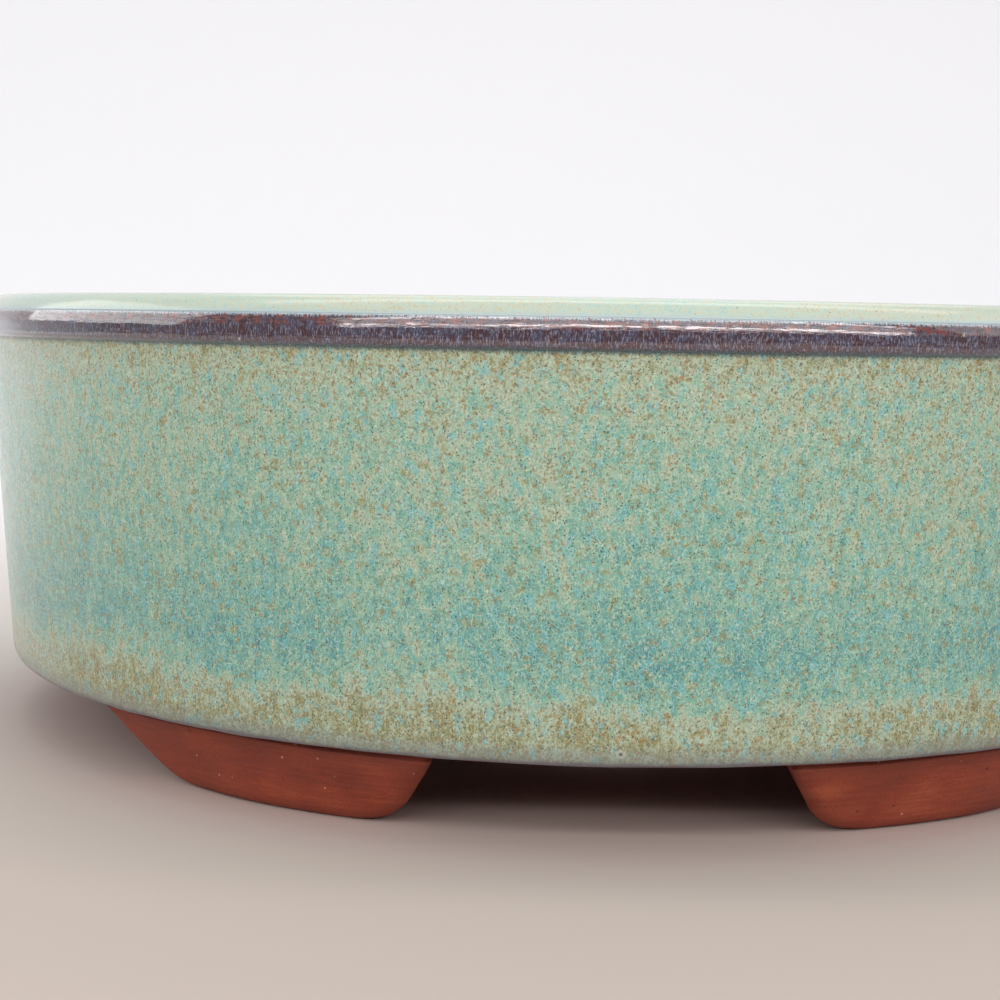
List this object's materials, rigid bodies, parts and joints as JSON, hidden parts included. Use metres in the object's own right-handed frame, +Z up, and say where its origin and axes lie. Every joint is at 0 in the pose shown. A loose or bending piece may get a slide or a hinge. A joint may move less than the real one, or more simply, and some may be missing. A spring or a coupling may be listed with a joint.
{
  "type": "bonsai pot",
  "caption": "Shallow oval bonsai pot on low bowed feet, turquoise speckled glaze with a dark lip band, unglazed clay inside and below.",
  "frame": {"origin": "on the table, under the middle of the pot, at the lowest point of the feet", "axes": "+X along the length of the oval, +Y across its width, +Z up out of the open top"},
  "size_m": [0.21, 0.16, 0.052],
  "materials": {
    "clay": "unglazed fired stoneware clay, matt",
    "turquoise_glaze": "glossy speckled glaze",
    "aubergine_glaze": "glossy dark glaze",
    "celadon_glaze": "glossy pale glaze"
  },
  "bodies": {
    "root": {"floor_slab": "clay", "wall_band": "clay", "rim_lip": "clay", "seam_coil": "clay", "foot_front_left": "clay", "foot_front_right": "clay", "foot_back_left": "clay", "foot_back_right": "clay", "wall_glaze": "turquoise_glaze", "lip_glaze": "aubergine_glaze", "collar_glaze": "celadon_glaze"}
  },
  "joints": []
}
